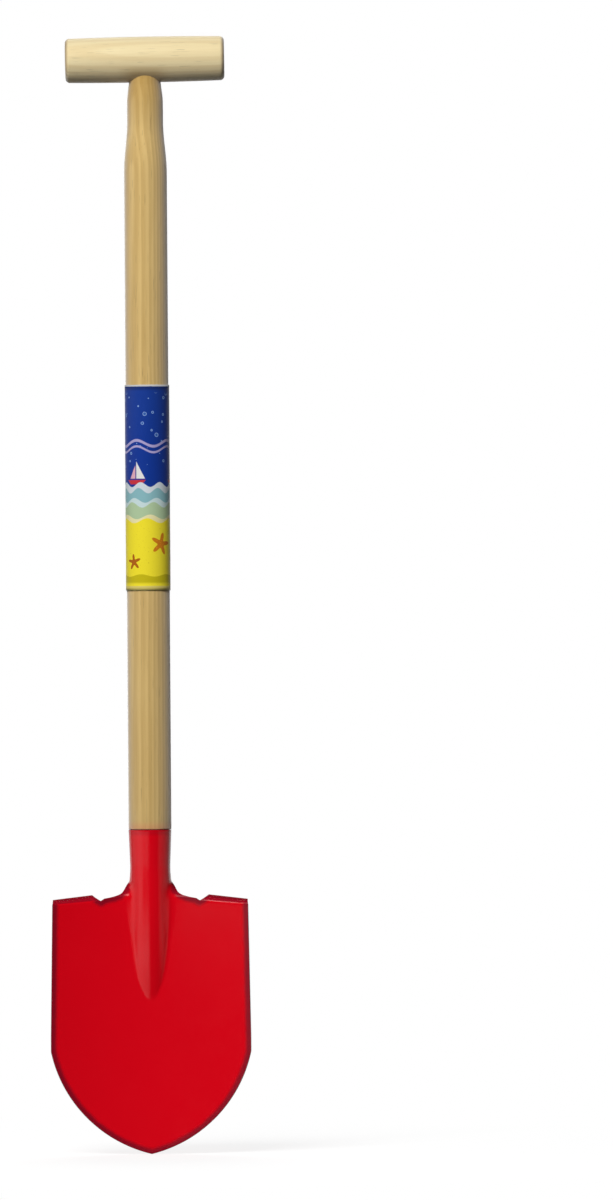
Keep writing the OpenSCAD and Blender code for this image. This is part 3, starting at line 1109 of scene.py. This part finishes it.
def printed_card():
    """Sleeve print of sea, boats and sand with starfish, on satin card with bare edges."""
    material, g = new_material("label_print")
    art = Print(g)
    art.bubbles()
    for wave, half_width in RIBBONS:
        art.paint(g.band(art.under(art.line(wave)), -half_width, half_width, LILAC_SOFT), LILAC)
    for u in BOATS_U:
        art.boat(u)
    for wave, colour in LAYERS:
        art.paint(art.below(art.line(wave)), colour)
    specks = g.smooth(g.noise(art.place, scale=1.1, detail=2.0), *SPECK_NOISE, 0.0, SPECK_SHARE)
    art.paint(g.product(specks, art.below(SPECK_FROM)), SPECK)
    for star in STARS:
        art.starfish(star)
    fibres = g.noise(art.place, scale=3.0, detail=4.0, roughness=0.7)
    art.hems(fibres)
    g.surface(g.add(
        "BsdfPrincipled",
        Base_Color=art.colour,
        Roughness=g.smooth(fibres, *CARD_NOISE, *CARD_ROUGH),
        Specular_IOR_Level=CARD_GLOSS,
        Normal=g.bump(fibres, distance=0.00004, strength=0.5),
    ))
    return material


# Steel
STEEL_DARK = (0.50, 0.49, 0.47)
STEEL_BRIGHT = (0.66, 0.65, 0.63)
STEEL_ROUGH = (0.28, 0.42)
MARKS_STRETCH = (1.0, 0.2, 1.0)
MARKS_NOISE = (0.3, 0.7)


def steel():
    """Bright drawn wire with faint turning marks."""
    material, g = new_material("nail_steel")
    marks = g.noise(g.stretched(g.place(), MARKS_STRETCH), scale=1800.0, detail=3.0, roughness=0.6)
    g.surface(g.add(
        "BsdfPrincipled",
        Base_Color=g.mix(marks, STEEL_DARK, STEEL_BRIGHT),
        Metallic=1.0,
        Roughness=g.smooth(marks, *MARKS_NOISE, *STEEL_ROUGH),
        Normal=g.bump(marks, distance=0.00005, strength=0.3),
    ))
    return material


# Studio, in metres and degrees
WHITE = (1, 1, 1)
TARGET = Vector((0, 0, (GRIP_R + FLOOR_Z) / 2 * MM))
ROOM_SPAN = (-20.0, 20.0)
ROOM_LOW = 0.03
ROOM_HIGH = 0.12
MIRROR_DARK = 0.008
BACKDROP_FACING = (0.5, 0.75)
BACKDROP_TOP = (2.0, 7.0)
FLOOR_SIDE = 40.0
FLOOR_DULL = (0.07, 0.07, 0.07)
FLOOR_NEAR = 0.15
FLOOR_FAR = 0.60
FLOOR_GLOW = 0.8


class Screen(NamedTuple):
    """A reflector with soft edges. Its places are angles up from the level and to the camera's left."""

    level: float
    bottom: tuple
    top: tuple
    span: tuple
    soft: float


SCREENS = {
    "left": Screen(1.05, bottom=(-32.0, -12.0), top=(-4.6, -2.6), span=(8.0, 115.0), soft=5.0),
    "right": Screen(0.45, bottom=(-13.0, -7.0), top=(-2.0, 4.0), span=(-125.0, -48.0), soft=8.0),
    "strip": Screen(1.05, bottom=(-5.5, -2.5), top=(1.5, 4.5), span=(42.0, 75.0), soft=4.0),
    "side": Screen(0.9, bottom=(-3.0, 3.0), top=(22.0, 28.0), span=(60.0, 120.0), soft=6.0),
    "key": Screen(4.0, bottom=(20.0, 28.0), top=(46.0, 54.0), span=(6.0, 36.0), soft=4.0),
}


def make_world():
    """White for the camera, a dim room for diffuse light, and screens that show in gloss alone.

    The screens stand at the left, at the right and round the key light. The white backdrop is behind.
    """
    world = bpy.data.worlds.new("studio")
    world.use_nodes = True
    scene.world = world
    g = Graph(world.node_tree)
    path = g.add("LightPath").outputs
    toward = g.parts(g.add("TexCoord").outputs["Generated"])
    up = g.math("DEGREES", g.math("ARCSINE", toward["Z"]))
    turn = g.math("ARCTAN2", g.scaled(toward["X"], -1.0), g.scaled(toward["Y"], -1.0))
    left = g.math("DEGREES", turn)
    mirror = MIRROR_DARK
    for screen in SCREENS.values():
        upright = g.product(g.smooth(up, *screen.bottom), g.fade(up, *screen.top))
        shown = g.product(upright, g.band(left, *screen.span, screen.soft))
        mirror = g.blend(shown, mirror, screen.level)
    backdrop = g.product(g.smooth(toward["Y"], *BACKDROP_FACING), g.fade(up, *BACKDROP_TOP))
    mirror = g.blend(backdrop, mirror, 1.0)
    mirrored = g.math("MAXIMUM", path["Is Glossy Ray"], path["Is Transmission Ray"])
    room = g.smooth(up, *ROOM_SPAN, ROOM_LOW, ROOM_HIGH)
    level = g.blend(path["Is Camera Ray"], g.blend(mirrored, room, mirror), 1.0)
    background = g.add("Background", Color=WHITE, Strength=level)
    g.tree.links.new(background.outputs[0], g.add("OutputWorld").inputs["Surface"])


def make_floor():
    """A pale floor that shows white with the part's shadow, and sends little light back up."""
    half = FLOOR_SIDE / 2
    corners = [(-half, -half), (half, -half), (half, half), (-half, half)]
    mesh = bpy.data.meshes.new("floor")
    mesh.from_pydata([(x, y, FLOOR_Z * MM) for x, y in corners], [], [(0, 1, 2, 3)])
    floor = bpy.data.objects.new("floor", mesh)
    scene.collection.objects.link(floor)
    floor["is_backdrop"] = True
    floor.visible_glossy = False
    material, g = new_material("floor_white")
    path = g.add("LightPath").outputs
    seen = g.math("MAXIMUM", path["Is Camera Ray"], path["Is Transmission Ray"])
    place = g.parts(g.add("NewGeometry").outputs["Position"])
    away = g.length(place["X"], place["Y"])
    pale = g.add("BsdfDiffuse", Color=WHITE)
    glow = g.add("Emission", Color=WHITE, Strength=1.0)
    dull = g.add("BsdfDiffuse", Color=FLOOR_DULL)
    shown = g.mix_shader(g.smooth(away, FLOOR_NEAR, FLOOR_FAR, FLOOR_GLOW, 1.0), pale, glow)
    g.surface(g.mix_shader(seen, dull, shown))
    dress(floor, material)


def add_softbox(name, left, up, distance, size, level):
    """Area lamp at angles to the left of the camera and up. A white face towards it has that level."""
    left, up = math.radians(left), math.radians(up)
    away = Vector((-math.sin(left) * math.cos(up), -math.cos(left) * math.cos(up), math.sin(up)))
    light = bpy.data.lights.new(name, "AREA")
    light.shape = "RECTANGLE"
    light.size, light.size_y = size
    light.energy = level * (math.pi * distance) ** 2
    lamp = bpy.data.objects.new(name, light)
    lamp.location = TARGET + away * distance
    lamp.rotation_euler = away.to_track_quat("Z", "Y").to_euler()
    lamp.visible_camera = False
    lamp.visible_glossy = False
    scene.collection.objects.link(lamp)


# The photograph's frame, and where the shaft's axis shows in it
PHOTO_W, PHOTO_H = 613, 1200
MM_PER_PIXEL = 2 / 3
AXIS_PIXEL = (147.4, 460.0)
GRIP_PIXEL_Y = 59.5
LEAN = math.radians(0.4)
CAMERA_DISTANCE = 9.0
CLIP_END = 100.0
SENSOR_H = 24.0


def make_camera():
    """Level long-lens camera, straight at the blade's hollow face and to the right of the part."""
    pixel = MM_PER_PIXEL * MM
    data = bpy.data.cameras.new("camera")
    data.sensor_fit = "VERTICAL"
    data.sensor_height = SENSOR_H
    data.lens = CAMERA_DISTANCE * SENSOR_H / (PHOTO_H * pixel)
    data.clip_end = CLIP_END
    right = Vector((math.cos(LEAN), 0, -math.sin(LEAN)))
    up = Vector((math.sin(LEAN), 0, math.cos(LEAN)))
    across = (AXIS_PIXEL[0] - PHOTO_W / 2) * pixel
    above = (PHOTO_H / 2 - AXIS_PIXEL[1]) * pixel
    on_axis = Vector((0, 0, (GRIP_PIXEL_Y - AXIS_PIXEL[1]) * pixel))
    camera = bpy.data.objects.new("camera", data)
    camera.location = on_axis - across * right - above * up + Vector((0, -CAMERA_DISTANCE, 0))
    camera.rotation_euler = (math.pi / 2, LEAN, 0)
    scene.collection.objects.link(camera)
    scene.camera = camera


# The part in its studio

blade = make_blade()
shaft = make_shaft()
grip = make_grip()
label = make_label()

dress(blade, enamel())
dress(shaft, wood(
    "shaft_wood",
    pale=(0.70, 0.49, 0.19),
    deep=(0.55, 0.36, 0.12),
    grain=(1.0, 1.0, 0.04),
    heart=(0.021, 0.016, 0),
    gloss=0.45,
    sheen=0.9,
    tints_and_shade=shaft_tint_and_shade,
))
dress(grip, wood(
    "grip_wood",
    pale=(0.81, 0.685, 0.405),
    deep=(0.73, 0.58, 0.315),
    grain=(0.05, 1.0, 1.0),
    heart=(0, 0.028, -0.012),
    gloss=0.75,
    sheen=0.5,
    tints_and_shade=grip_grain_and_shade,
))
dress(label, printed_card())
nail_steel = steel()
for name in ("socket_nails", "grip_nail"):
    for material_slot in nodes[name].material_slots:
        material_slot.material = nail_steel

scene.view_settings.view_transform = "Standard"
make_world()
make_floor()
add_softbox("key", left=20, up=37, distance=4.0, size=(1.8, 1.8), level=1.12)
add_softbox("back_fill", left=180, up=35, distance=4.0, size=(2.5, 2.5), level=0.6)
make_camera()

boxes = {"cad": cad_bounds, "visual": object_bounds()}
{name: [list(corner) for corner in box] for name, box in boxes.items()}
